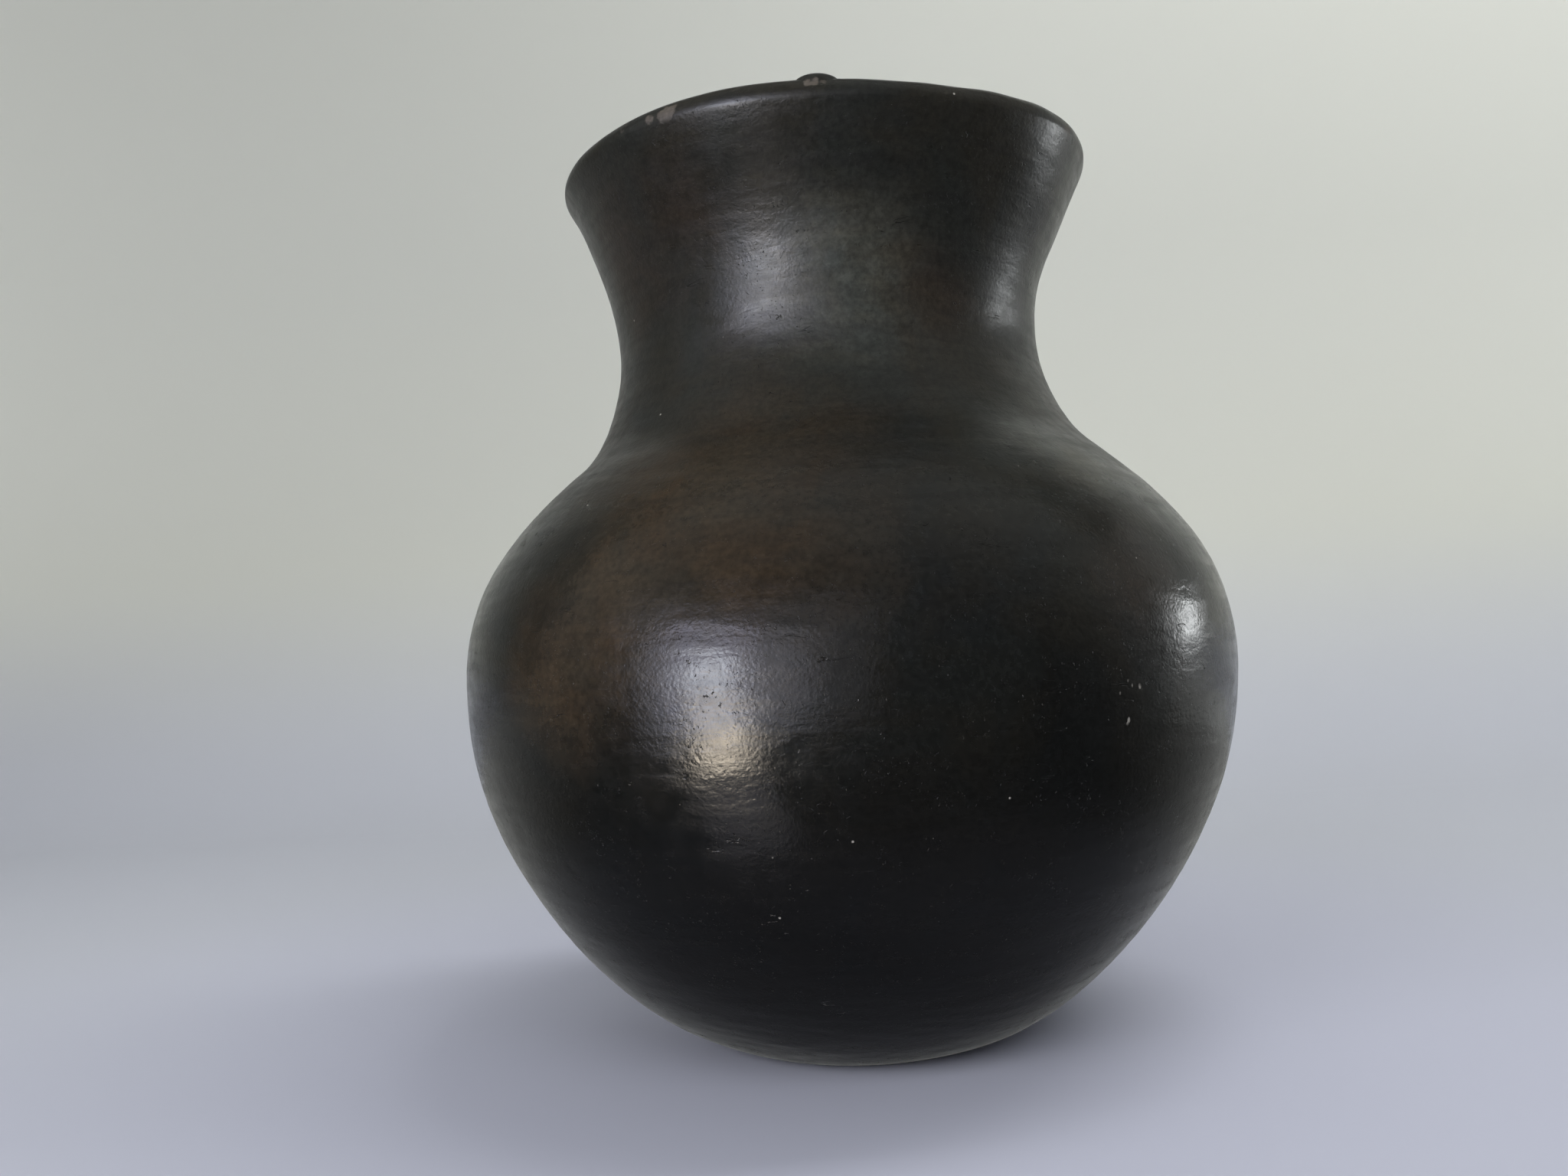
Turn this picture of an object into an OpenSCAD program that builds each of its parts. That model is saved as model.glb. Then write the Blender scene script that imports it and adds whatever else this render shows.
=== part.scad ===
// Black clay pot (cantaro) with a round body, a narrow neck and a flared mouth. Millimetres, +Z up,
// origin at the centre of the foot. The pot is raised by hand: a flat base disc, a pinched lower bowl
// and rings of rolled clay, each luted to the one below over a sloping seam.

/* [Overall] */
// Height of the pot, from the foot to the top of the lip
pot_h = 300; // [270:1:330]
// Thickness of the wall at the belly and neck
wall_t = 6.5; // [5:0.5:8]
// Thickness of the floor over the foot
floor_t = 9; // [7:0.5:12]

/* [Foot and lower bowl] */
// Radius of the flat foot
foot_r = 44; // [38:1:50]
// Slope of the wall where it leaves the foot, in degrees
foot_rise = 12; // [5:1:25]
// Length of the curve's handle at the foot
foot_pull = 32; // [20:1:45]

/* [Belly] */
// Largest radius of the pot
belly_r = 132; // [120:1:140]
// Height of the largest radius
belly_z = 126; // [110:1:135]
// Fullness of the curve below the largest radius
belly_drop = 70; // [50:1:75]
// Fullness of the curve above the largest radius
belly_lift = 32; // [22:1:36]

/* [Shoulder] */
// Radius where the shoulder turns from round to hollow
shoulder_r = 91; // [86:1:96]
// Height where the shoulder turns
shoulder_z = 197.5; // [190:0.5:205]
// Direction of the wall there, in degrees from outward
shoulder_lean = 139; // [130:1:145]
// Fullness of the shoulder below the turn
shoulder_drop = 30; // [20:1:36]
// Fullness of the hollow above the turn
shoulder_lift = 14; // [8:1:20]

/* [Neck and mouth] */
// Smallest radius of the neck
neck_r = 74.5; // [70:0.5:80]
// Height of the smallest radius
neck_z = 241.5; // [236:0.5:246]
// Fullness of the neck below its smallest radius
neck_drop = 15; // [8:1:20]
// Fullness of the neck above its smallest radius
neck_lift = 24.5; // [16:0.5:30]
// Largest radius of the lip
mouth_r = 93; // [86:1:100]
// Direction of the wall at the lip, in degrees from outward
mouth_flare = 65.5; // [55:0.5:80]
// Length of the curve's handle at the lip
mouth_pull = 17; // [10:1:24]
// Radius of the rounded lip
lip_r = 2.8; // [2.4:0.1:4]

/* [Clay courses] */
// Length of the pinched lower bowl, along the wall
bowl_len = 60; // [45:1:75]
// Height of the lip coil below the lip's rounding, along the wall
lip_len = 10; // [6:1:16]
// How far each seam drops from the outside to the inside
scarf = 5; // [3:0.5:8]

/* [Lip nub] */
// Height of the nub above the lip
nub_h = 2.6; // [1.5:0.1:4]
// Length of the nub along the lip
nub_len = 13; // [10:0.5:18]
// Width of the nub across the lip, where it meets the top of the lip
nub_w = 5; // [4:0.5:5.5]

/* [Hidden] */
$fn = 96;

black_clay = [0.075, 0.066, 0.060];
brown_clay = [0.115, 0.088, 0.070];

curve_steps = 32;   // points along each of the outline's four curves
course_steps = 7;   // edges along each face of a course
lip_steps = 12;     // edges round the lip
coils = 10;         // equal rings between the lower bowl and the lip coil
probe = 0.5;        // half the length over which a direction is read

// A direction at an angle from outward, as [r, z].
function along(a) = [cos(a), sin(a)];

// One cubic curve from p to q, leaving p along u and reaching q along v.
function curve(p, u, v, q) =
    [for (i = [0:curve_steps - 1]) let (t = i / curve_steps, s = 1 - t)
        s*s*s*p + 3*s*s*t*(p + u) + 3*s*t*t*(q - v) + t*t*t*q];

// The outline's stations, as [r, z].
foot = [foot_r, 0];
belly = [belly_r, belly_z];
shoulder = [shoulder_r, shoulder_z];
neck = [neck_r, neck_z];
lip_mid = [mouth_r - lip_r, pot_h - lip_r];
mouth = lip_mid + lip_r * along(mouth_flare - 90);

// The outside of the pot, from the middle of the foot to where the lip's rounding starts.
outline = concat(
    [[0, 0]],
    curve(foot, foot_pull * along(foot_rise), [0, belly_drop], belly),
    curve(belly, [0, belly_lift], shoulder_drop * along(shoulder_lean), shoulder),
    curve(shoulder, shoulder_lift * along(shoulder_lean), [0, neck_drop], neck),
    curve(neck, [0, neck_lift], mouth_pull * along(mouth_flare), mouth),
    [mouth]);

// Length along the outside up to each of its points.
reach = [for (i = 0, s = 0; i < len(outline); i = i + 1,
              s = s + (i < len(outline) ? norm(outline[i] - outline[i - 1]) : 0)) s];
r_at = [for (i = [0:len(outline) - 1]) [reach[i], outline[i][0]]];
z_at = [for (i = [0:len(outline) - 1]) [reach[i], outline[i][1]]];
end_s = reach[len(reach) - 1];

// A point of the outside at length s, its outward normal, the wall's thickness and the inside point.
function outer(s) = [lookup(s, r_at), lookup(s, z_at)];
function normal(s) =
    let (d = outer(min(s + probe, end_s)) - outer(max(s - probe, 0))) [d[1], -d[0]] / norm(d);
function thickness(s) = lookup(s, [[0, floor_t], [foot_r, floor_t], [foot_r + bowl_len, wall_t],
                                   [end_s - 3 * lip_len, wall_t], [end_s, 2 * lip_r]]);
function inner(s) = outer(s) - thickness(s) * normal(s);

// Where the courses meet, as lengths along the outside.
bowl_top = foot_r + bowl_len;
lip_start = end_s - lip_len;
coil_len = (lip_start - bowl_top) / coils;
function coil_top(i) = bowl_top + i * coil_len;

// One course of clay: a ring between the lengths s0 and s1, its seams dropping inwards by scarf.
module course(s0, s1) {
    step = (s1 - s0) / course_steps;
    rotate_extrude()
        polygon(concat([for (i = [0:course_steps]) outer(s0 + i * step)],
                       [for (i = [course_steps:-1:0]) inner(s0 + i * step - scarf)]));
}

// The lip coil's outline: its wall, the rounded lip and the inside down to its seam.
function lip_outline(turn) =
    concat([for (i = [0:course_steps]) outer(lip_start + i * lip_len / course_steps)],
           [for (i = [1:lip_steps - 1]) lip_mid + lip_r * along(turn - 90 + 180 * i / lip_steps)],
           [for (i = [0:course_steps]) inner(end_s - i * (lip_len + scarf) / course_steps)]);

// The flat disc that the pot stands on.
module base_disc() {
    color(black_clay)
        rotate_extrude()
            polygon([[0, 0], foot, inner(foot_r - scarf), [0, floor_t]]);
}

// The pinched bowl between the base disc and the first coil.
module lower_bowl() {
    color(black_clay) course(foot_r, bowl_top);
}

// The i-th of the equal coils, counted from 1 at the bottom.
module coil(i) {
    color(i % 2 == 0 ? black_clay : brown_clay) course(coil_top(i - 1), coil_top(i));
}

// The rounded lip and the short band of wall below it.
module lip_coil() {
    color(black_clay) rotate_extrude() polygon(lip_outline(mouth_flare));
}

// A small pressed-on pellet of clay on top of the lip, at the front: a dome along and across the lip.
module lip_nub() {
    long_r = (nub_len * nub_len / 4 + nub_h * nub_h) / (2 * nub_h);
    wide_r = (nub_w * nub_w / 4 + nub_h * nub_h) / (2 * nub_h);
    top = pot_h + nub_h;
    color(brown_clay)
        difference() {
            intersection() {
                translate([0, -lip_mid[0], top - long_r])
                    rotate([90, 0, 0]) cylinder(r = long_r, h = 4 * lip_r, center = true);
                translate([0, -lip_mid[0], top - wide_r])
                    rotate([0, 90, 0]) cylinder(r = wide_r, h = 2 * nub_len, center = true);
                translate([-nub_len, -lip_mid[0] - 2 * lip_r, pot_h - lip_r / 2])
                    cube([2 * nub_len, 4 * lip_r, nub_h + lip_r]);
            }
            rotate_extrude() polygon(lip_outline(mouth_flare));
        }
}

base_disc();
lower_bowl();
coil(1);  // belly_coil_1
coil(2);  // belly_coil_2
coil(3);  // belly_coil_3
coil(4);  // belly_coil_4
coil(5);  // belly_coil_5
coil(6);  // shoulder_coil_1
coil(7);  // shoulder_coil_2
coil(8);  // neck_coil_1
coil(9);  // neck_coil_2
coil(10);  // mouth_coil
lip_coil();
lip_nub();
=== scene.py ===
"""Looks of the black clay pot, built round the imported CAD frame. Metres, +Z up, foot at the origin."""
import math

import bpy
import numpy as np
from mathutils import Matrix


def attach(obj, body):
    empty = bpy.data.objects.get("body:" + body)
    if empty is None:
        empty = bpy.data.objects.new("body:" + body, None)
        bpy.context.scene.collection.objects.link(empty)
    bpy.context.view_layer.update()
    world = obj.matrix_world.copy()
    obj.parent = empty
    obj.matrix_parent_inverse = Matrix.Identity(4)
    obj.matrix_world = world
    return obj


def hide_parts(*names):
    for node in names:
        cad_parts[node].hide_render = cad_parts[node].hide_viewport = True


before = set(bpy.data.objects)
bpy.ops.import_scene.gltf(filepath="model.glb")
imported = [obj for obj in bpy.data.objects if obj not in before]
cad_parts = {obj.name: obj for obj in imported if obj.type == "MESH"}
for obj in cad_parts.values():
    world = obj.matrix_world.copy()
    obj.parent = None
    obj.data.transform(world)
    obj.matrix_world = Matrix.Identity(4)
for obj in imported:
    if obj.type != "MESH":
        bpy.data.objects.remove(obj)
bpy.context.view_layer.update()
MM = 0.001

# ---------------------------------------------------------------- driving sizes, as in the CAD source (mm)
POT_H, WALL_T, FLOOR_T = 300.0, 6.5, 9.0
FOOT_R, FOOT_RISE, FOOT_PULL = 44.0, 12.0, 32.0
BELLY_R, BELLY_Z, BELLY_DROP, BELLY_LIFT = 132.0, 126.0, 70.0, 32.0
SHOULDER_R, SHOULDER_Z, SHOULDER_LEAN, SHOULDER_DROP, SHOULDER_LIFT = 91.0, 197.5, 139.0, 30.0, 14.0
NECK_R, NECK_Z, NECK_DROP, NECK_LIFT = 74.5, 241.5, 15.0, 24.5
MOUTH_R, MOUTH_FLARE, MOUTH_PULL, LIP_R = 93.0, 65.5, 17.0, 2.8
BOWL_LEN, LIP_LEN, SCARF, COILS = 60.0, 10.0, 5.0, 10
NUB_H, NUB_LEN, NUB_W = 2.0, 13.0, 5.0
NUB_EDGE, NUB_SINK = 0.03, 0.5
NUB_TURN = math.radians(80)  # where the nub sits round the lip: 90 is its top
NUB_ROUND, NUB_OVER = 1.1, 1.15   # how far its mesh reaches round the lip and over it: 1 is its outline
NUB_DOME = 0.75                   # the power that shapes its dome: less is fuller
COIL_NODES = ["belly_coil_%d" % i for i in range(1, 6)] + [
    "shoulder_coil_1", "shoulder_coil_2", "neck_coil_1", "neck_coil_2", "mouth_coil"]

# ---------------------------------------------------------------- mesh resolution
CURVE_STEPS = 160   # points along each curve of the outline
TURN = 768          # points round the pot
OUT_STEP = 1.2      # length of a face up the outside, mm
IN_STEP = 2.6       # length of a face down the inside, mm
LIP_ROWS = 24       # rows round the lip
SEAM_ROWS = 2       # rows across a seam, between its two edges


def along(degrees):
    """The direction at an angle from outward, as (r, z)."""
    return np.array([math.cos(math.radians(degrees)), math.sin(math.radians(degrees))])


def curve(p, u, v, q):
    """A cubic curve from p, leaving along u, to q, reached along v; the last point is left out."""
    t = (np.arange(CURVE_STEPS) / CURVE_STEPS)[:, None]
    return (1 - t) ** 3 * p + 3 * (1 - t) ** 2 * t * (p + u) + 3 * (1 - t) * t * t * (q - v) + t ** 3 * q


def outline():
    """The outside from the middle of the foot to the start of the lip's rounding, and the rounding's
    centre."""
    foot, belly = np.array([FOOT_R, 0]), np.array([BELLY_R, BELLY_Z])
    shoulder, neck = np.array([SHOULDER_R, SHOULDER_Z]), np.array([NECK_R, NECK_Z])
    middle = np.array([MOUTH_R - LIP_R, POT_H - LIP_R])
    mouth = middle + LIP_R * along(MOUTH_FLARE - 90)
    up = np.array([0, 1])
    line = np.concatenate([
        [[0, 0]],
        curve(foot, FOOT_PULL * along(FOOT_RISE), BELLY_DROP * up, belly),
        curve(belly, BELLY_LIFT * up, SHOULDER_DROP * along(SHOULDER_LEAN), shoulder),
        curve(shoulder, SHOULDER_LIFT * along(SHOULDER_LEAN), NECK_DROP * up, neck),
        curve(neck, NECK_LIFT * up, MOUTH_PULL * along(MOUTH_FLARE), mouth),
        [mouth]])
    return line, middle


LINE, LIP_MID = outline()
REACH = np.concatenate([[0], np.cumsum(np.hypot(*np.diff(LINE, axis=0).T))])
END = REACH[-1]
BOWL_TOP, LIP_START = FOOT_R + BOWL_LEN, END - LIP_LEN
SEAMS = [FOOT_R] + list(np.linspace(BOWL_TOP, LIP_START, COILS + 1))


def outer(s):
    """Points [r, z] of the outside at lengths s from the middle of the foot."""
    return np.stack([np.interp(s, REACH, LINE[:, 0]), np.interp(s, REACH, LINE[:, 1])], -1)


def inner(s):
    """Points [r, z] of the inside, the wall's thickness in from the outside at lengths s."""
    d = outer(np.minimum(s + 0.5, END)) - outer(np.maximum(s - 0.5, 0))
    normal = np.stack([d[..., 1], -d[..., 0]], -1) / np.linalg.norm(d, axis=-1)[..., None]
    thick = np.interp(s, [0, FOOT_R, BOWL_TOP, END - 3 * LIP_LEN, END],
                      [FLOOR_T, FLOOR_T, WALL_T, WALL_T, 2 * LIP_R])
    return outer(s) - thick[..., None] * normal


def stations(breaks, step):
    """Lengths from the first break to the last, about a step apart, with every break among them."""
    parts = [np.linspace(a, b, max(2, round((b - a) / step) + 1))[:-1] for a, b in zip(breaks, breaks[1:])]
    return np.concatenate(parts + [[breaks[-1]]])


# ---------------------------------------------------------------- the hand-made surface
# Swells and hollows of the wall: azimuth from the front and height of the middle, reach round in degrees
# and up in mm, and how far the wall stands out, in mm.
SWELLS = [(3, 228, 52, 17, -2.4), (3, 296, 56, 34, 3.6),       # the front of the neck leans forward
          (56, 231, 20, 15, -1.9), (54, 274, 20, 24, 2.3),     # and so does its right
          (14, 250, 34, 22, 2.1), (-48, 250, 26, 22, -1.2),
          (-90, 289, 35, 10, -1.3), (-90, 268, 35, 12, 0.4), (-92, 253, 30, 12, 0.6),
          (-90, 200, 50, 18, -0.8), (-90, 85, 50, 25, 0.9),
          (95, 276, 40, 12, 1.0), (95, 252, 40, 10, -0.5), (90, 100, 50, 40, 0.8)]
MATT_FROM, MATT_FULL = 6, 55    # how far down the inside its matt finish starts, and is full, mm
THETA = np.arange(TURN) * 2 * math.pi / TURN
FRONT = -math.pi / 2


def smooth(x, low, high):
    """0 below low, 1 above high, and smooth between them; low may be above high."""
    t = np.clip((np.asarray(x, float) - low) / (high - low), 0, 1)
    return t * t * (3 - 2 * t)


def ripple(s, seed, turns, waves, count=48):
    """A smooth random field over lengths s and THETA, with unit spread: turns is the range of waves round
    the pot, and waves the range of wavelengths up it in mm."""
    rng = np.random.default_rng(seed)
    m = rng.integers(turns[0], turns[1] + 1, count) * rng.choice([-1, 1], count)
    k = 2 * math.pi / rng.uniform(waves[0], waves[1], count)
    phase = rng.uniform(0, 2 * math.pi, count)
    up, turn = s[:, None] * k + phase, np.outer(m, THETA)
    return (np.cos(up) @ np.cos(turn) - np.sin(up) @ np.sin(turn)) * (2 / count) ** 0.5


def dents(s, radius, seed, count, size, depth):
    """Small round dents at random places, as a height field in mm."""
    rng = np.random.default_rng(seed)
    field = np.zeros((len(s), TURN))
    for place, angle, wide, deep in zip(rng.uniform(FOOT_R, END, count), rng.uniform(0, 2 * math.pi, count),
                                        rng.uniform(*size, count), rng.uniform(*depth, count)):
        rows = np.abs(s - place) < 3 * wide
        across = turned(angle) * np.interp(place, s, radius)
        field[rows] -= deep * np.exp(-((s[rows] - place)[:, None] ** 2 + across ** 2) / wide ** 2)
    return field


def free(s):
    """How far the hand's unevenness may show at lengths s: none on the flat foot, all past the curve from
    it."""
    return smooth(s, FOOT_R, FOOT_R + 25)[:, None]


def form(s):
    """The slow unevenness that the outside and inside share, in mm."""
    slow, less_slow = ripple(s, 11, (2, 4), (150, 320), 24), ripple(s, 12, (4, 9), (50, 110), 40)
    return free(s) * (0.40 * slow + 0.06 * less_slow)


def turned(angle):
    """How far each of THETA lies round from an angle, between -pi and pi."""
    return np.mod(THETA - angle + math.pi, 2 * math.pi) - math.pi


def bump_round(azimuth, reach):
    """1 at an azimuth from the front, falling away over a reach round the pot, in degrees."""
    return np.exp(-(turned(FRONT + math.radians(azimuth)) / math.radians(reach)) ** 2)


def swell(points):
    """The hand-made swells and hollows of the wall at each row of the profile, in mm."""
    field = np.zeros((len(points), TURN))
    for azimuth, height, reach_round, reach_up, rise in SWELLS:
        up = (points[:, 1] - height) / reach_up
        field += rise * np.exp(-up ** 2)[:, None] * bump_round(azimuth, reach_round)
    return field


def outside_relief(s):
    """The outside's own height field in mm: scraped waves, burnishing flats and small dents."""
    radius = outer(s)[:, 0]
    scraped = 0.030 * ripple(s, 21, (5, 14), (22, 45), 48)
    burnished = 0.016 * ripple(s, 22, (5, 22), (5, 13), 90) + 0.006 * ripple(s, 23, (14, 60), (3, 6), 90)
    return free(s) * (scraped + burnished + dents(s, radius, 24, 90, (1.6, 4.5), (0.02, 0.12)))


def inside_relief(s):
    """The inside's own height field in mm: finger ridges round the pot and coarse dabs."""
    ridges = 0.22 * ripple(s, 31, (0, 5), (9, 17), 48)
    return ridges + 0.12 * ripple(s, 32, (8, 30), (14, 40), 60)


def lean(z):
    """How far the middle line stands to +X at heights z, in mm: the neck a little left, the mouth right."""
    t = z / POT_H
    return -1.1 * np.exp(-((t - 0.78) / 0.2) ** 2) + 2.0 * t * t


def rim_lift(z):
    """How much the rim rises or falls round the mouth, in mm."""
    wave = 0.35 * np.cos(2 * THETA + 0.8) + 0.25 * np.cos(3 * THETA - 1.0)
    wave -= 2.3 * bump_round(16, 34) + 0.5 * bump_round(26, 16)
    return smooth(z, NECK_Z, POT_H)[:, None] * wave


def place(points, normals, relief):
    """Turns a profile of [r, z] rows with its normals into rows of points round the pot, in mm."""
    r = points[:, 0, None] + normals[:, 0, None] * relief
    z = points[:, 1, None] + normals[:, 1, None] * relief
    x = r * np.cos(THETA) + lean(z)
    return np.stack([x, r * np.sin(THETA), z + rim_lift(points[:, 1])], -1)


def profile_normals(points):
    """The outward normals of a profile that runs up the outside, over the lip and down the inside."""
    d = np.gradient(points, axis=0)
    return np.stack([d[:, 1], -d[:, 0]], -1) / np.linalg.norm(d, axis=1)[:, None]


def skin():
    """The whole surface in one strip of rows: up the outside, over the lip and down the inside. Returns the
    points, their normals, each row's inside share, and the row at each seam, outside and inside."""
    out_s = stations([0.0] + SEAMS, OUT_STEP)
    out_s[-1] = LIP_START
    top_s = stations([LIP_START, END], OUT_STEP)[1:]
    in_seams = [s - SCARF for s in SEAMS]
    in_s = stations([0.0] + in_seams + [END], IN_STEP)[::-1]
    out_s = np.concatenate([out_s, top_s])
    turn = MOUTH_FLARE - 90 + 180 * np.arange(1, LIP_ROWS) / LIP_ROWS
    lip = LIP_MID + LIP_R * np.stack([along(a) for a in turn])
    points = np.concatenate([outer(out_s), lip, inner(in_s)])
    normals = profile_normals(points)
    share = np.arange(1, LIP_ROWS) / LIP_ROWS
    shared = form(np.concatenate([out_s, np.full(len(lip), END), in_s]))
    outside, inside = outside_relief(out_s), inside_relief(in_s)
    over = (1 - share)[:, None] * outside[-1] + share[:, None] * inside[0]
    relief = np.concatenate([outside, over, inside])
    sign = np.concatenate([np.ones(len(out_s)), 1 - share, -np.ones(len(in_s))])[:, None]
    rows = place(points, normals, sign * (shared + swell(points)) + relief)
    rows[0], rows[-1] = rows[0].mean(0), rows[-1].mean(0)
    up = np.gradient(rows, axis=0)
    round_ = np.roll(rows, -1, 1) - np.roll(rows, 1, 1)
    facing = np.cross(round_, up)
    facing[0], facing[-1] = (0, 0, -1), (0, 0, 1)
    facing /= np.linalg.norm(facing, axis=-1)[..., None]
    first_in = len(out_s) + len(lip)
    deep = np.concatenate([np.zeros(first_in), smooth(END - in_s, MATT_FROM, MATT_FULL)])
    out_rows = [int(np.argmin(np.abs(out_s - s))) for s in SEAMS]
    in_rows = [first_in + int(np.argmin(np.abs(in_s - s))) for s in in_seams]
    return rows * MM, facing, deep, out_rows, in_rows


ROWS, FACING, DEEP, OUT_ROWS, IN_ROWS = skin()


# ---------------------------------------------------------------- meshes
def mesh_object(name, points, faces, loop_normals, deep):
    """A mesh with smooth faces, its own corner normals and an inside share for each point."""
    mesh = bpy.data.meshes.new(name)
    mesh.from_pydata(points.tolist(), [], faces.tolist() if isinstance(faces, np.ndarray) else faces)
    mesh.polygons.foreach_set("use_smooth", np.ones(len(mesh.polygons), bool))
    mesh.attributes.new("inside", "FLOAT", "POINT").data.foreach_set("value", deep.astype(np.float32))
    mesh.update()
    mesh.normals_split_custom_set(loop_normals.tolist())
    ob = bpy.data.objects.new(name, mesh)
    bpy.context.scene.collection.objects.link(ob)
    return ob


def band(rows, closed):
    """Quads between neighbouring rows of TURN points; closed joins the last row to the first."""
    first = np.arange(rows if closed else rows - 1)
    k = np.arange(TURN)
    a, b = first[:, None] * TURN, (first[:, None] + 1) % rows * TURN
    nxt = (k + 1) % TURN
    return np.stack(np.broadcast_arrays(a + k, a + nxt, b + nxt, b + k), -1).reshape(-1, 4)


def seam_rows(a, b):
    """Rows of points between the two edges of a seam, rows a and b of the skin."""
    t = (np.arange(SEAM_ROWS) + 1) / (SEAM_ROWS + 1)
    return [ROWS[a] * (1 - u) + ROWS[b] * u for u in t]


def flat_seams(points, quads, corner, seam):
    """Gives the quads of a seam, picked by a mask, their own flat normals."""
    p = points[quads[seam]]
    flat = np.cross(p[:, 2] - p[:, 0], p[:, 3] - p[:, 1])
    corner[seam] = (flat / np.linalg.norm(flat, axis=1)[:, None])[:, None]


def course(name, i):
    """The ring of wall between seams i and i + 1: outside up, top seam, inside down, bottom seam."""
    up, down = range(OUT_ROWS[i], OUT_ROWS[i + 1] + 1), range(IN_ROWS[i + 1], IN_ROWS[i] + 1)
    return ring(name, [list(up), list(down)])


def ring(name, runs):
    """A closed ring from runs of rows of the skin, with a seam after each run."""
    points, normals, deep, is_seam = [], [], [], []
    for run, following in zip(runs, runs[1:] + runs[:1]):
        points += [ROWS[r] for r in run]
        normals += [FACING[r] for r in run]
        deep += [DEEP[r] for r in run]
        is_seam += [False] * (len(run) - 1) + [True] * (SEAM_ROWS + 1)
        for row in seam_rows(run[-1], following[0]):
            points.append(row)
            normals.append(FACING[run[-1]])
            deep.append((DEEP[run[-1]] + DEEP[following[0]]) / 2)
    points, normals = np.concatenate(points), np.concatenate(normals)
    faces = band(len(is_seam), True)
    corner = normals[faces]
    flat_seams(points, faces, corner, np.repeat(is_seam, TURN))
    return mesh_object(name, points, faces, corner.reshape(-1, 3), np.repeat(deep, TURN))


def base_disc():
    """The flat foot: outside from its middle to the first seam, and the floor over it."""
    up, down = list(range(1, OUT_ROWS[0] + 1)), list(range(IN_ROWS[0], len(ROWS) - 1))
    rows = [ROWS[r] for r in up] + seam_rows(up[-1], down[0]) + [ROWS[r] for r in down]
    normals = [FACING[r] for r in up] + [FACING[up[-1]]] * SEAM_ROWS + [FACING[r] for r in down]
    deep = [DEEP[r] for r in up] + [0.5] * SEAM_ROWS + [DEEP[r] for r in down]
    is_seam = np.zeros(len(rows) - 1, bool)
    is_seam[len(up) - 1:len(up) + SEAM_ROWS] = True
    points = np.concatenate([np.concatenate(rows), [ROWS[0, 0], ROWS[-1, 0]]])
    normals = np.concatenate([np.concatenate(normals), [[0, 0, -1], [0, 0, 1]]])
    quads = band(len(rows), False)
    corner = normals[quads]
    flat_seams(points, quads, corner, np.repeat(is_seam, TURN))
    k, last, low = np.arange(TURN), (len(rows) - 1) * TURN, len(rows) * TURN
    nxt = (k + 1) % TURN
    bottom = np.stack([np.full(TURN, low), nxt, k], -1)
    top = np.stack([np.full(TURN, low + 1), last + k, last + nxt], -1)
    faces = quads.tolist() + bottom.tolist() + top.tolist()
    corners = np.concatenate([part.reshape(-1, 3) for part in (corner, normals[bottom], normals[top])])
    deep = np.concatenate([np.repeat(deep, TURN), [0, 1]])
    return mesh_object("base_disc_clay", points, faces, corners, deep)


def lip_coil():
    """The band below the lip, the rounded lip and the inside down to the last seam."""
    return ring("lip_coil_clay", [list(range(OUT_ROWS[-1], IN_ROWS[-1] + 1))])


def lip_nub():
    """A pellet of clay pressed on top of the lip at the front: a low dome that follows the lip's own
    surface, sunk into it."""
    cols = [k for k in range(TURN)
            if abs(THETA[k] - 2 * math.pi - FRONT) < NUB_ROUND * NUB_LEN / 2 / MOUTH_R]
    first = OUT_ROWS[-1] + round(LIP_LEN / OUT_STEP)
    turn = np.radians(MOUTH_FLARE - 90 + 180 * np.linspace(0, 1, LIP_ROWS + 1))
    rows = [first + k for k in range(LIP_ROWS + 1)
            if abs(turn[k] - NUB_TURN) < NUB_OVER * NUB_W / 2 / LIP_R]
    p, n = ROWS[np.ix_(rows, cols)], FACING[np.ix_(rows, cols)]
    u = (THETA[cols] - 2 * math.pi - FRONT) * MOUTH_R / (NUB_LEN / 2)
    v = (turn[np.array(rows) - first] - NUB_TURN) * LIP_R / (NUB_W / 2)
    far = np.hypot(u[None], v[:, None])
    top = p + n * ((NUB_EDGE + NUB_H * np.clip(1 - far ** 2, 0, 1) ** NUB_DOME) * MM)[..., None]
    under = p - n * NUB_SINK * MM
    up, round_ = np.gradient(top, axis=0), np.gradient(top, axis=1)
    facing = np.cross(round_, up)
    facing /= np.linalg.norm(facing, axis=-1)[..., None]
    a, b = len(rows), len(cols)
    grid = np.arange(a * b).reshape(a, b)
    over = np.stack([grid[:-1, :-1], grid[:-1, 1:], grid[1:, 1:], grid[1:, :-1]], -1).reshape(-1, 4)
    below = over[:, ::-1] + a * b
    edge = np.concatenate([grid[0, :-1], grid[:-1, -1], grid[-1, :0:-1], grid[:0:-1, 0]])
    nxt = np.roll(edge, -1)
    side = np.stack([edge, edge + a * b, nxt + a * b, nxt], -1)
    faces = np.concatenate([over, below, side])
    normals = np.concatenate([facing.reshape(-1, 3), -n.reshape(-1, 3)])
    points = np.concatenate([top.reshape(-1, 3), under.reshape(-1, 3)])
    return mesh_object("lip_nub_clay", points, faces, normals[faces].reshape(-1, 3), np.zeros(2 * a * b))


# ---------------------------------------------------------------- materials
def feed(tree, socket, value):
    """Links a socket into an input, or sets the input's own value."""
    if isinstance(value, bpy.types.NodeSocket):
        tree.links.new(value, socket)
    else:
        socket.default_value = value


def calc(tree, kind, a, b=0.0, clamp=False):
    """A Math node's result."""
    n = tree.nodes.new("ShaderNodeMath")
    n.operation, n.use_clamp = kind, clamp
    for socket, value in zip(n.inputs, (a, b)):
        feed(tree, socket, value)
    return n.outputs[0]


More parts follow.
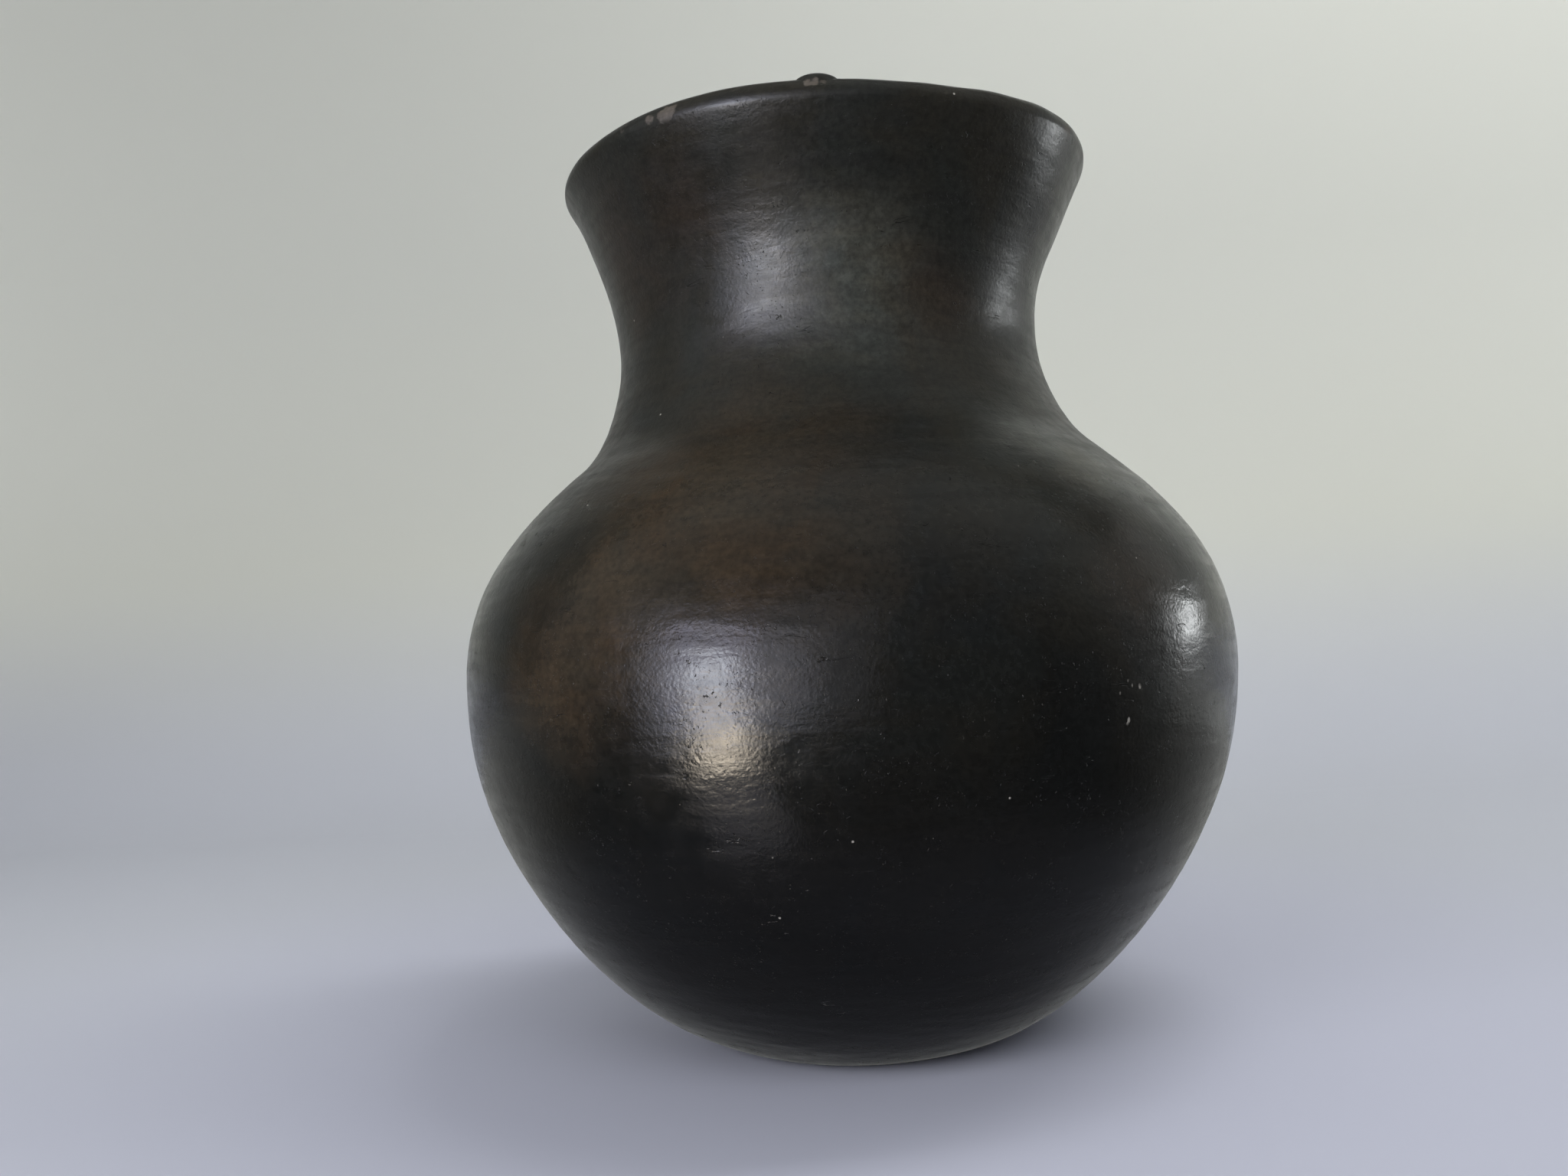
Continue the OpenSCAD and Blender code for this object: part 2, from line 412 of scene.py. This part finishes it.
def span(tree, value, low, high, out_low=0.0, out_high=1.0):
    """A value between low and high, smoothed onto out_low to out_high."""
    n = tree.nodes.new("ShaderNodeMapRange")
    n.interpolation_type = "SMOOTHSTEP"
    for name, v in (("Value", value), ("From Min", low), ("From Max", high), ("To Min", out_low),
                    ("To Max", out_high)):
        feed(tree, n.inputs[name], v)
    return n.outputs[0]


def stretched(tree, point, x, y, z):
    """The point with each axis scaled."""
    n = tree.nodes.new("ShaderNodeMapping")
    feed(tree, n.inputs["Vector"], point)
    n.inputs["Scale"].default_value = (x, y, z)
    return n.outputs[0]


def noise(tree, point, scale, detail=4.0, rough=0.5, distortion=0.0):
    """A noise texture's value."""
    n = tree.nodes.new("ShaderNodeTexNoise")
    for name, v in (("Vector", point), ("Scale", scale), ("Detail", detail), ("Roughness", rough),
                    ("Distortion", distortion)):
        feed(tree, n.inputs[name], v)
    return n.outputs["Fac"]


def cells(tree, point, output="Distance"):
    """A Voronoi texture's output, with cells about 1 across."""
    n = tree.nodes.new("ShaderNodeTexVoronoi")
    feed(tree, n.inputs["Vector"], point)
    n.inputs["Scale"].default_value = 1.0
    return n.outputs[output]


def blend_colour(tree, share, a, b, kind="MIX"):
    """Colours a and b mixed by share."""
    n = tree.nodes.new("ShaderNodeMix")
    n.data_type, n.blend_type = "RGBA", kind
    feed(tree, n.inputs[0], share)
    for socket, value in ((n.inputs[6], a), (n.inputs[7], b)):
        feed(tree, socket, value if isinstance(value, bpy.types.NodeSocket) else (*value, 1.0))
    return n.outputs[2]


def grey(tree, value):
    """A grey as bright as a value."""
    n = tree.nodes.new("ShaderNodeCombineXYZ")
    for socket in n.inputs:
        feed(tree, socket, value)
    return n.outputs[0]


def near(tree, point, centre, reach):
    """1 at a place on the pot, falling to 0 at a distance of reach from it, in metres."""
    n = tree.nodes.new("ShaderNodeVectorMath")
    n.operation = "DISTANCE"
    feed(tree, n.inputs[0], point)
    n.inputs[1].default_value = centre
    return span(tree, n.outputs["Value"], 1.1 * reach, 0.15 * reach)


def strayed(tree, point, scale, most_off):
    """The point moved by a noise, up to a distance along each axis."""
    wander = tree.nodes.new("ShaderNodeTexNoise")
    feed(tree, wander.inputs["Vector"], point)
    feed(tree, wander.inputs["Scale"], scale)
    feed(tree, wander.inputs["Detail"], 4.0)
    back, on = (tree.nodes.new("ShaderNodeVectorMath") for _ in range(2))
    back.operation, on.operation = "SUBTRACT", "MULTIPLY_ADD"
    for socket, value in ((back.inputs[0], point), (back.inputs[1], (most_off,) * 3),
                          (on.inputs[0], wander.outputs["Color"]), (on.inputs[1], (2 * most_off,) * 3),
                          (on.inputs[2], back.outputs[0])):
        feed(tree, socket, value)
    return on.outputs[0]


def split(tree, point):
    """The x, y and z of a point."""
    n = tree.nodes.new("ShaderNodeSeparateXYZ")
    feed(tree, n.inputs[0], point)
    return n.outputs


def most(tree, values):
    """The largest of several values."""
    top = values[0]
    for v in values[1:]:
        top = calc(tree, "MAXIMUM", top, v)
    return top


BLACK, OLIVE, COAL = (0.0030, 0.0031, 0.0032), (0.0172, 0.0168, 0.0132), (0.0062, 0.0070, 0.0078)
BROWN, RED_BROWN = (0.046, 0.0303, 0.0168), (0.030, 0.021, 0.0155)
# The last colour on the next line is painted shade for pits and hair cracks.
GREY_OLIVE, SOOT, PIT_SHADE = (0.056, 0.057, 0.046), (0.0045, 0.0040, 0.0036), (0.003, 0.0026, 0.0022)
PALE, WORN_AND_SHEEN = (0.30, 0.28, 0.25), (0.125, 0.105, 0.086)
WARMER, COOLER = (1.07, 0.99, 0.91), (0.92, 1.0, 1.08)
INSIDE, RAW = (0.016, 0.0145, 0.013), (0.030, 0.027, 0.024)
# Where the firing left its clouds: places on the outside in metres, and how far each reaches.
BROWN_CLOUDS = [((-0.038, -0.100, 0.178), 0.056), ((-0.024, -0.120, 0.158), 0.044),
                ((-0.062, -0.108, 0.150), 0.045), ((-0.078, -0.102, 0.134), 0.030),
                ((0.100, 0.060, 0.165), 0.060), ((-0.030, 0.120, 0.130), 0.060),
                ((0.030, 0.065, 0.270), 0.040)]
RED_CLOUDS = [((-0.060, -0.050, 0.262), 0.034), ((0.034, -0.066, 0.243), 0.022),
              ((0.085, -0.095, 0.148), 0.028), ((-0.046, -0.070, 0.276), 0.026),
              ((-0.100, 0.060, 0.170), 0.060)]
COAL_CLOUDS = [((0.006, -0.122, 0.162), 0.046), ((0.004, -0.106, 0.186), 0.034),
               ((0.030, -0.120, 0.150), 0.034), ((0.050, 0.100, 0.180), 0.050),
               ((-0.090, 0.020, 0.200), 0.040)]
OLIVE_CLOUDS = [((0.008, -0.075, 0.246), 0.036), ((0.074, -0.072, 0.186), 0.026),
                ((0.020, 0.090, 0.200), 0.050)]
# Each colour's places, its colour, and how strongly it shows, in the order they are laid on.
CLOUDS = [(COAL_CLOUDS, COAL, 0.85), (BROWN_CLOUDS, BROWN, 0.92), (RED_CLOUDS, RED_BROWN, 0.60),
          (OLIVE_CLOUDS, GREY_OLIVE, 0.90)]
WANDER = 0.020              # how far a cloud's edge strays, m
# Painted glints: where a group of pale specks stands for glints, and how far it reaches.
GLINT_PLACE, GLINT_REACH = (0.0765, -0.1065, 0.1135), 0.008   # a group of pale specks, m
# Where the lip is rubbed down to the brown clay; the three spots on the nub at the front are a painted
# sheen.
LIP_WEAR_AND_NUB_SHEEN = [((-0.0441, -0.0840, 0.2960), 0.0048), ((-0.0500, -0.0803, 0.2962), 0.0030),
            ((-0.0012, -0.0948, 0.2971), 0.0024), ((0.0012, -0.0949, 0.2970), 0.0022),
            ((0.0036, -0.0949, 0.2969), 0.0020), ((0.0800, -0.0500, 0.2946), 0.0050),
            ((0.030, 0.090, 0.298), 0.012)]


def clay():
    """Burnished black clay: black to brown clouds, burnishing streaks, pits and hair cracks with painted
    shade in them, dust and a group of painted glints on the outside, wear on the lip and foot with a
    painted sheen on the lip's nub, and a matt, finger-smoothed inside."""
    mat = bpy.data.materials.new("burnished_black_clay")
    mat.use_nodes = True
    tree = mat.node_tree
    shader = tree.nodes["Principled BSDF"]
    point = tree.nodes.new("ShaderNodeTexCoord").outputs["Object"]
    inside = tree.nodes.new("ShaderNodeAttribute")
    inside.attribute_name = "inside"
    inside = inside.outputs["Fac"]
    z = split(tree, point)[2]

    streaks = noise(tree, stretched(tree, point, 30, 30, 300), 1.0, 2.0, 0.5, 0.4)
    fine_streaks = noise(tree, stretched(tree, point, 120, 120, 900), 1.0, 1.0, 0.5, 0.3)
    cloud = noise(tree, point, 14.0, 5.0, 0.55, 0.6)
    mottle = noise(tree, point, 160.0, 4.0, 0.6)
    dabs = noise(tree, stretched(tree, point, 260, 260, 420), 1.0, 2.0, 0.6, 0.5)
    grain = noise(tree, point, 1000.0, 1.0, 0.5)
    pit_place = noise(tree, point, 900.0, 1.0, 0.5, 1.5)
    pitted = span(tree, noise(tree, point, 90.0, 2.0), 0.42, 0.62)
    pits = calc(tree, "MULTIPLY", span(tree, pit_place, 0.68, 0.78), pitted)

    # Hair cracks: thin level lines of a noise that is long round the pot, kept only in a few places.
    crack_noise = noise(tree, stretched(tree, point, 55, 55, 330), 1.0, 2.0, 0.5, 0.3)
    crack_line = calc(tree, "ABSOLUTE", calc(tree, "SUBTRACT", crack_noise, 0.5))
    crack_place = span(tree, noise(tree, stretched(tree, point, 70, 70, 150), 1.0, 1.0), 0.70, 0.74)
    cracks = calc(tree, "MULTIPLY", span(tree, crack_line, 0.012, 0.004), crack_place)
    hollows = calc(tree, "MAXIMUM", pits, cracks)

    # Dust: a few pale specks, one in a cell at most; and painted glints, a group of pale specks close
    # together.
    dust_point = stretched(tree, point, 95, 95, 95)
    dust_cell = cells(tree, dust_point)
    dust_pick = split(tree, cells(tree, dust_point, "Color"))[0]
    dust_and_glints = calc(tree, "MULTIPLY", span(tree, dust_cell, 0.042, 0.022), span(tree, dust_pick, 0.86, 0.88))
    glint_point = stretched(tree, point, 420, 420, 260)
    glints = calc(tree, "MULTIPLY", span(tree, cells(tree, glint_point), 0.27, 0.17),
                 span(tree, split(tree, cells(tree, glint_point, "Color"))[0], 0.55, 0.58))
    glint_place = span(tree, near(tree, point, GLINT_PLACE, GLINT_REACH), 0.20, 0.45)
    glints = calc(tree, "MULTIPLY", glints, glint_place)
    dust_and_glints = calc(tree, "MAXIMUM", dust_and_glints, glints)

    # Colour.
    ragged = strayed(tree, point, 26.0, WANDER)
    high = calc(tree, "ADD", z, calc(tree, "MULTIPLY", calc(tree, "SUBTRACT", cloud, 0.5), 0.09))
    tone = blend_colour(tree, span(tree, high, 0.050, 0.215), BLACK, OLIVE)
    for clouds, colour, strength in CLOUDS:
        share = most(tree, [near(tree, ragged, centre, reach) for centre, reach in clouds])
        share = calc(tree, "MULTIPLY", share, span(tree, cloud, 0.30, 0.60, 0.55, 1.0))
        share = calc(tree, "MULTIPLY", share, span(tree, mottle, 0.30, 0.66, 0.72 * strength, strength))
        tone = blend_colour(tree, share, tone, colour)
    warm = span(tree, noise(tree, point, 34.0, 4.0, 0.55, 0.5), 0.36, 0.64)
    tone = blend_colour(tree, 1.0, tone, blend_colour(tree, warm, WARMER, COOLER), "MULTIPLY")
    tone = blend_colour(tree, span(tree, streaks, 0.35, 0.75, 0.0, 0.30), tone, SOOT)
    rub_and_sheen = noise(tree, point, 190.0, 5.0, 0.7)
    rubbed_and_sheen = most(tree, [near(tree, point, centre, reach) for centre, reach in LIP_WEAR_AND_NUB_SHEEN])
    rub_and_sheen = calc(tree, "ADD", rub_and_sheen, calc(tree, "MULTIPLY", rubbed_and_sheen, 0.30))
    lip_wear_and_sheen = calc(tree, "MULTIPLY", span(tree, z, 0.2925, 0.2960), span(tree, rub_and_sheen, 0.60, 0.74))
    # The rubbed lip in lighter brown, with a painted sheen on the nub.
    tone = blend_colour(tree, calc(tree, "MULTIPLY", lip_wear_and_sheen, 0.58), tone, WORN_AND_SHEEN)
    # Painted shade: pits and hair cracks darkened.
    tone = blend_colour(tree, calc(tree, "MULTIPLY", hollows, 0.7), tone, PIT_SHADE)
    # Dust, and the painted glints, in pale grey.
    tone = blend_colour(tree, dust_and_glints, tone, PALE)
    speckle = span(tree, noise(tree, point, 560.0, 3.0, 0.65), 0.30, 0.70, 0.76, 1.24)
    tone = blend_colour(tree, 1.0, tone, grey(tree, speckle), "MULTIPLY")
    raw = blend_colour(tree, span(tree, mottle, 0.3, 0.7), INSIDE, RAW)
    tone = blend_colour(tree, inside, tone, raw)
    foot = span(tree, z, 0.0022, 0.0004)
    tone = blend_colour(tree, calc(tree, "MULTIPLY", foot, 0.8), tone, raw)
    tree.links.new(tone, shader.inputs["Base Color"])

    # Gloss.
    gloss = calc(tree, "ADD", span(tree, streaks, 0.30, 0.70, 0.19, 0.25),
                 span(tree, mottle, 0.35, 0.65, -0.03, 0.04))
    gloss = calc(tree, "ADD", gloss, span(tree, z, 0.165, 0.200, 0.0, 0.15))
    gloss = calc(tree, "SUBTRACT", gloss, span(tree, z, 0.222, 0.245, 0.0, 0.04))
    gloss = calc(tree, "ADD", gloss, calc(tree, "MULTIPLY", pits, 0.25))
    gloss = calc(tree, "ADD", gloss, calc(tree, "MULTIPLY", lip_wear_and_sheen, 0.22))
    matt = calc(tree, "MULTIPLY", calc(tree, "MAXIMUM", inside, foot), 0.40)
    gloss = calc(tree, "ADD", gloss, matt, clamp=True)
    tree.links.new(gloss, shader.inputs["Roughness"])
    shader.inputs["IOR"].default_value = 1.40

    # Relief, from coarse to fine.
    normal = None
    for height, distance in ((streaks, 0.00006), (fine_streaks, 0.00002), (dabs, 0.00008), (grain, 0.00005),
                             (calc(tree, "MULTIPLY", hollows, -1.0), 0.00014)):
        bump = tree.nodes.new("ShaderNodeBump")
        bump.inputs["Strength"].default_value = 1.0
        bump.inputs["Distance"].default_value = distance
        tree.links.new(height, bump.inputs["Height"])
        if normal is not None:
            tree.links.new(normal, bump.inputs["Normal"])
        normal = bump.outputs[0]
    tree.links.new(normal, shader.inputs["Normal"])
    return mat


# ---------------------------------------------------------------- the pot
def build_pot():
    """Every piece stands for its CAD node, in the same place and the same size."""
    pieces = {"base_disc": base_disc(), "lower_bowl": course("lower_bowl_clay", 0)}
    for i, node in enumerate(COIL_NODES):
        pieces[node] = course(node + "_clay", i + 1)
    pieces["lip_coil"], pieces["lip_nub"] = lip_coil(), lip_nub()
    mat = clay()
    for node, piece in pieces.items():
        piece.data.materials.append(mat)
        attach(piece, "root")
        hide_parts(node)


# ---------------------------------------------------------------- floor, light and camera
UNLIT = (1.25, 2.6)         # the lights fade out between these distances from the pot, m
GLOW = 0.50                 # how brightly the stage glows beyond them
PANES_FROM_POT = 3.0        # distance of the panes that only the gloss shows, m
FLOOR_SEEN = (0.13, 0.28)   # reflections show the floor up to the first radius and not past the second, m
# Colours of the floor, the wall, and the floor in the shade round the pot.
FLOOR, WALL, SHADE = (0.59, 0.610, 0.690), (0.69, 0.70, 0.65), (0.59, 0.607, 0.735)


def plain(name, colour):
    """A plain matt material for the stage."""
    mat = bpy.data.materials.new(name)
    mat.use_nodes = True
    shader = mat.node_tree.nodes["Principled BSDF"]
    shader.inputs["Base Color"].default_value = (*colour, 1)
    shader.inputs["Roughness"].default_value = 0.8
    shader.inputs["Specular IOR Level"].default_value = 0.2
    return mat


def stage_sheet(name, verts, faces, mat):
    """A smooth sheet of the stage."""
    mesh = bpy.data.meshes.new(name)
    mesh.from_pydata(verts, [], faces)
    mesh.polygons.foreach_set("use_smooth", np.ones(len(mesh.polygons), bool))
    mesh.materials.append(mat)
    ob = bpy.data.objects.new(name, mesh)
    bpy.context.scene.collection.objects.link(ob)
    return ob


def from_middle(tree):
    """The distance from the pot's middle line, in metres."""
    x, y, _ = split(tree, tree.nodes.new("ShaderNodeTexCoord").outputs["Object"])
    return calc(tree, "SQRT", calc(tree, "ADD", calc(tree, "MULTIPLY", x, x), calc(tree, "MULTIPLY", y, y)))


def glow_far_off(tree, colour):
    """Keeps the stage as bright far from the lights as it is near the pot, where it is seen directly."""
    shader = tree.nodes["Principled BSDF"]
    colour = colour if isinstance(colour, bpy.types.NodeSocket) else (*colour, 1)
    feed(tree, shader.inputs["Emission Color"], colour)
    seen = tree.nodes.new("ShaderNodeLightPath").outputs["Is Camera Ray"]
    glow = calc(tree, "MULTIPLY", seen, span(tree, from_middle(tree), *UNLIT, 0.0, GLOW))
    tree.links.new(glow, shader.inputs["Emission Strength"])


def floor_material():
    """The pale floor, a little bluer in the shade round the pot. Away from the pot it lets reflections
    through, so that the pot mirrors the windows' lower ends and the dark room as it would on a small
    stand, and only its underside mirrors the floor."""
    mat = plain("pale_floor", FLOOR)
    tree = mat.node_tree
    tree.links.new(blend_colour(tree, span(tree, from_middle(tree), 0.12, 0.50), SHADE, FLOOR),
                   tree.nodes["Principled BSDF"].inputs["Base Color"])
    glow_far_off(tree, FLOOR)
    glossy = tree.nodes.new("ShaderNodeLightPath").outputs["Is Glossy Ray"]
    mix = tree.nodes.new("ShaderNodeMixShader")
    through = calc(tree, "MULTIPLY", glossy, span(tree, from_middle(tree), *FLOOR_SEEN, 0.66, 1.0))
    tree.links.new(through, mix.inputs[0])
    tree.links.new(tree.nodes["Principled BSDF"].outputs[0], mix.inputs[1])
    tree.links.new(tree.nodes.new("ShaderNodeBsdfTransparent").outputs[0], mix.inputs[2])
    tree.links.new(mix.outputs[0], tree.nodes["Material Output"].inputs["Surface"])
    return mat


def wall_material():
    """The pale wall: the floor's colour at its foot, warmer above."""
    mat = plain("pale_wall", WALL)
    tree = mat.node_tree
    z = split(tree, tree.nodes.new("ShaderNodeTexCoord").outputs["Object"])[2]
    colour = blend_colour(tree, span(tree, z, 0.0, 0.30), FLOOR, WALL)
    tree.links.new(colour, tree.nodes["Principled BSDF"].inputs["Base Color"])
    glow_far_off(tree, colour)
    return mat


def stage():
    """A pale floor, and a pale wall that rises from it behind in a wide bend."""
    depth, near_edge, bend, top, half = 1.3, -14.0, 0.7, 9.0, 14.0
    floor = stage_sheet("floor", [(-half, near_edge, 0), (half, near_edge, 0), (half, depth - bend, 0),
                                  (-half, depth - bend, 0)], [(0, 1, 2, 3)], floor_material())
    floor.visible_shadow = False
    arc = [(depth - bend + bend * math.sin(a), bend - bend * math.cos(a))
           for a in np.linspace(0, math.pi / 2, 33)]
    verts = [(x, y, z) for y, z in arc + [(depth, top)] for x in (-half, half)]
    faces = [(2 * i, 2 * i + 1, 2 * i + 3, 2 * i + 2) for i in range(len(arc))]
    stage_sheet("backdrop", verts, faces, wall_material())


def soft_light(name, where, to, size, radiance, colour, shines=True, lights_up=True, spread=180):
    """A rectangle of light at a place, facing a point, as bright as radiance. Without shines it doesn't
    show in reflections, and without lights_up it shows only there. Spread is in degrees."""
    data = bpy.data.lights.new(name, "AREA")
    data.spread = math.radians(spread)
    data.shape, data.size, data.size_y = "RECTANGLE", size[0], size[1]
    data.energy, data.color = radiance * math.pi * size[0] * size[1], colour
    ob = bpy.data.objects.new(name, data)
    back = np.array(where, float) - np.array(to, float)
    back /= np.linalg.norm(back)
    side = np.cross((0, 0, 1), back)
    side /= np.linalg.norm(side)
    turn = Matrix((side, np.cross(back, side), back)).transposed().to_4x4()
    ob.matrix_world = Matrix.Translation(where) @ turn
    ob.visible_glossy, ob.visible_diffuse, ob.visible_camera = shines, lights_up, False
    bpy.context.scene.collection.objects.link(ob)


def pane(name, azimuths, elevations, radiance, colour):
    """A rectangle of light for the gloss alone that fills a range of azimuths and elevations seen from the
    pot's middle, in degrees: azimuth is from the front, -Y, towards +X."""
    az, el = math.radians(sum(azimuths) / 2), math.radians(sum(elevations) / 2)
    ahead = np.array([math.sin(az) * math.cos(el), -math.cos(az) * math.cos(el), math.sin(el)])
    wide = 2 * PANES_FROM_POT * math.tan(math.radians(azimuths[1] - azimuths[0]) / 2) * math.cos(el)
    tall = 2 * PANES_FROM_POT * math.tan(math.radians(elevations[1] - elevations[0]) / 2)
    middle = np.array([0, 0, 0.15])
    soft_light(name, middle + PANES_FROM_POT * ahead, middle, (wide, tall), radiance, colour,
               lights_up=False)


def at(azimuth, distance, height):
    """A place round the pot: azimuth is in degrees from the front, -Y, towards +X."""
    a = math.radians(azimuth)
    return (distance * math.sin(a), -distance * math.cos(a), height)


def low_light(name, azimuth, distance, heights, width, radiance, colour):
    """An upright strip of light for the gloss alone, close to the pot. It shines only towards the belly, so
    that the neck doesn't mirror it."""
    size, belly = (width, heights[1] - heights[0]), at(azimuth + 15, 0.12, 0.075)
    soft_light(name, at(azimuth, distance, sum(heights) / 2), belly, size, radiance, colour,
               lights_up=False, spread=56)


def lights():
    """A window at the front left with a warm sill below, a blue curtain round it and its haze, and a narrow
    window with its curtain at the right, all for the gloss; a soft key from the left, one above the camera
    and one on the wall; and a room that is brighter behind, above and at the sides."""
    pane("window", (-42.5, -30), (-4, 9), 14, (0.86, 0.93, 1.0))
    pane("window_sill", (-42, -27), (-12, -4), 10.5, (1.0, 0.91, 0.80))
    pane("curtain", (-49, -25), (-10, 22), 4.0, (0.76, 0.75, 1.0))
    pane("curtain_edge", (-56, -9), (-12, 20), 1.8, (0.84, 0.85, 1.0))
    pane("haze", (-60, 8), (-16, 34), 0.5, (0.85, 0.87, 1.0))
    pane("right_window", (105, 117), (-4, 10), 9.5, (0.96, 0.99, 1.0))
    pane("right_curtain", (98, 138), (-12, 34), 0.33, (0.96, 1.0, 0.98))
    low_light("sill_near", -28.5, 0.40, (-0.015, 0.056), 0.088, 2.4, (1.0, 0.87, 0.70))
    low_light("floor_near", -28, 0.40, (-0.20, -0.015), 0.150, 0.10, (0.93, 0.90, 1.0))
    soft_light("key", at(-38, 1.5, 0.55), (0, 0, 0.1), (0.9, 0.7), 6.0, (1.0, 1.0, 1.0), shines=False)
    soft_light("fill", at(15, 1.5, 1.0), (0, 0, 0.05), (1.4, 0.8), 2.8, (0.97, 0.98, 1.0), shines=False)
    soft_light("wall_wash", (0.9, 0.0, 1.9), (0.7, 1.1, 0.8), (1.6, 0.6), 6.0, (1.0, 1.0, 0.97),
               shines=False)
    world = bpy.data.worlds.new("soft_room")
    world.use_nodes = True
    tree = world.node_tree
    way = split(tree, tree.nodes.new("ShaderNodeTexCoord").outputs["Generated"])
    bright = calc(tree, "ADD", calc(tree, "MULTIPLY", way[1], 0.7), calc(tree, "MULTIPLY", way[2], 0.7))
    aside = calc(tree, "ABSOLUTE", way[0])
    bright = calc(tree, "ADD", bright, calc(tree, "MULTIPLY", aside, 0.25))
    level = span(tree, bright, -0.20, 0.70, 0.06, 0.40)
    seen = tree.nodes.new("ShaderNodeLightPath").outputs["Is Camera Ray"]
    room = tree.nodes["Background"]
    room.inputs["Color"].default_value = (0.98, 1.0, 0.97, 1)
    tree.links.new(calc(tree, "MAXIMUM", level, calc(tree, "MULTIPLY", seen, 0.5)), room.inputs["Strength"])
    bpy.context.scene.world = world


def camera():
    """The camera stands close, at the belly's height, looking slightly up and rolled a little."""
    stand = (0, -0.4544, 0.1307)
    yaw, pitch, roll = (math.radians(a) for a in (-2.55, 3.15, -3.18))
    ahead = np.array([math.sin(yaw) * math.cos(pitch), math.cos(yaw) * math.cos(pitch), math.sin(pitch)])
    right = np.array([math.cos(yaw), -math.sin(yaw), 0])
    up = np.cross(right, ahead)
    side = math.cos(roll) * right + math.sin(roll) * up
    top = -math.sin(roll) * right + math.cos(roll) * up
    data = bpy.data.cameras.new("camera")
    data.lens, data.sensor_width = 29.0, 36.0
    data.clip_start = 0.01
    ob = bpy.data.objects.new("camera", data)
    ob.matrix_world = Matrix.Translation(stand) @ Matrix((side, top, -ahead)).transposed().to_4x4()
    bpy.context.scene.collection.objects.link(ob)
    bpy.context.scene.camera = ob


build_pot()
stage()
lights()
camera()
bpy.context.scene.view_settings.view_transform = "Standard"
